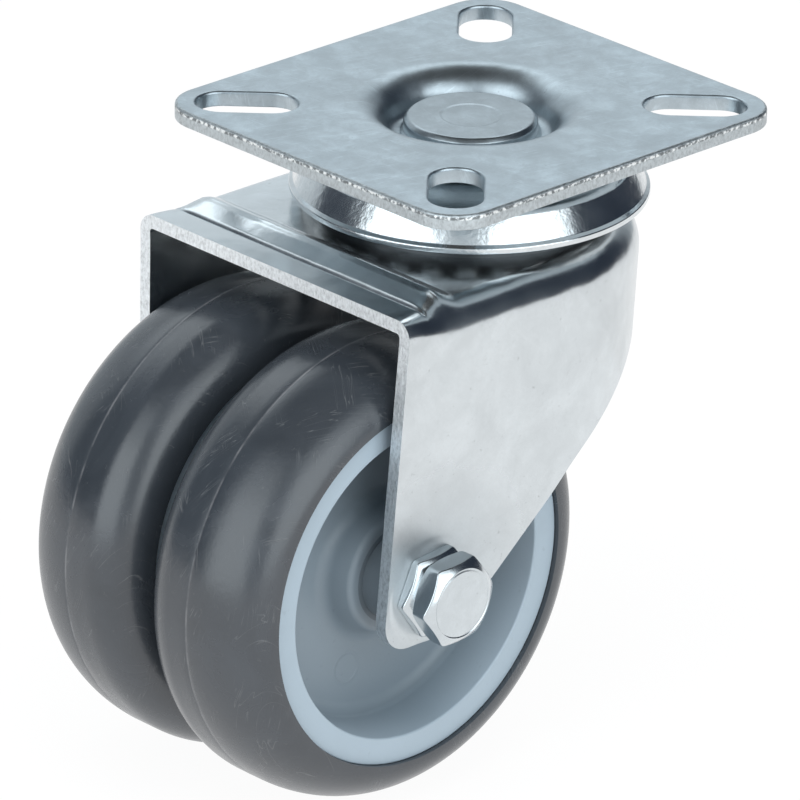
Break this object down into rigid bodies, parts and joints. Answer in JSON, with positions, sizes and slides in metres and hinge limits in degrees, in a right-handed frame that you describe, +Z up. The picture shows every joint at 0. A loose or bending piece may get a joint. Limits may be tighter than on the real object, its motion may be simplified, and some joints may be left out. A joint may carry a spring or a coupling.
{
  "type": "twin-wheel swivel castor",
  "caption": "Swivel castor with twin grey wheels on a plated steel fork under a slotted top plate, to carry and steer a gate, trolley or cabinet.",
  "frame": {"origin": "where the swivel axis meets the top face of the mounting plate", "axes": "+Z up out of the mounting face along the swivel axis; +X from the wheel axle towards the swivel axis, the direction of travel; +Y along the axle towards the lock nut"},
  "size_m": [0.1073, 0.0746, 0.1],
  "materials": {
    "zinc_plate": "bright zinc plated, slightly satin, with fine press marks",
    "zinc_bright": "bright zinc plated, glossy",
    "zinc_rivet": "bright zinc plated, turned face",
    "zinc_fork": "bright zinc plated, glossy with faint rub marks",
    "zinc_fastener": "blue-white zinc plated",
    "steel_inner": "plain steel, lightly oiled",
    "ball_steel": "polished ball steel",
    "nut_plastic": "natural nylon",
    "bush_plastic": "dark moulded bearing plastic",
    "hub_plastic": "moulded polypropylene, light blue-grey, satin",
    "tyre_rubber": "grey thermoplastic rubber, non-marking, soft gloss"
  },
  "bodies": {
    "swivel_head": {"top_plate": "zinc_plate", "king_pin": "zinc_rivet", "swivel_cap": "zinc_bright", "spacer_sleeve": "steel_inner", "lower_race": "steel_inner"},
    "upper_ball_ring": {"upper_balls": "ball_steel"},
    "lower_ball_ring": {"lower_balls": "ball_steel"},
    "fork_group": {"fork": "zinc_fork", "axle_bolt": "zinc_fastener", "hex_spacer": "zinc_fastener", "nut_washer": "zinc_fastener", "lock_nut": "zinc_fastener", "lock_nut_ring": "nut_plastic", "axle_tube": "steel_inner", "hub_spacer": "bush_plastic", "near_thrust_collar": "bush_plastic", "far_thrust_collar": "bush_plastic"},
    "near_wheel": {"near_hub": "hub_plastic", "near_tyre": "tyre_rubber", "near_bush": "bush_plastic"},
    "far_wheel": {"far_hub": "hub_plastic", "far_tyre": "tyre_rubber", "far_bush": "bush_plastic"}
  },
  "joints": [
    {"name": "swivel", "type": "hinge", "parent": "swivel_head", "child": "fork_group", "pos_m": [0, 0, 0], "axis": [0, 0, 1], "continuous": true},
    {"name": "upper_ball_orbit", "type": "hinge", "parent": "swivel_head", "child": "upper_ball_ring", "pos_m": [0, 0, 0], "axis": [0, 0, 1], "continuous": true},
    {"name": "lower_ball_orbit", "type": "hinge", "parent": "swivel_head", "child": "lower_ball_ring", "pos_m": [0, 0, 0], "axis": [0, 0, 1], "continuous": true},
    {"name": "near_wheel_spin", "type": "hinge", "parent": "fork_group", "child": "near_wheel", "pos_m": [-0.034, 0, -0.0625], "axis": [0, 1, 0], "continuous": true},
    {"name": "far_wheel_spin", "type": "hinge", "parent": "fork_group", "child": "far_wheel", "pos_m": [-0.034, 0, -0.0625], "axis": [0, 1, 0], "continuous": true}
  ],
  "couplings": [
    {"joint": "upper_ball_orbit", "follows": "swivel", "ratio": 0.5},
    {"joint": "lower_ball_orbit", "follows": "swivel", "ratio": 0.5}
  ]
}
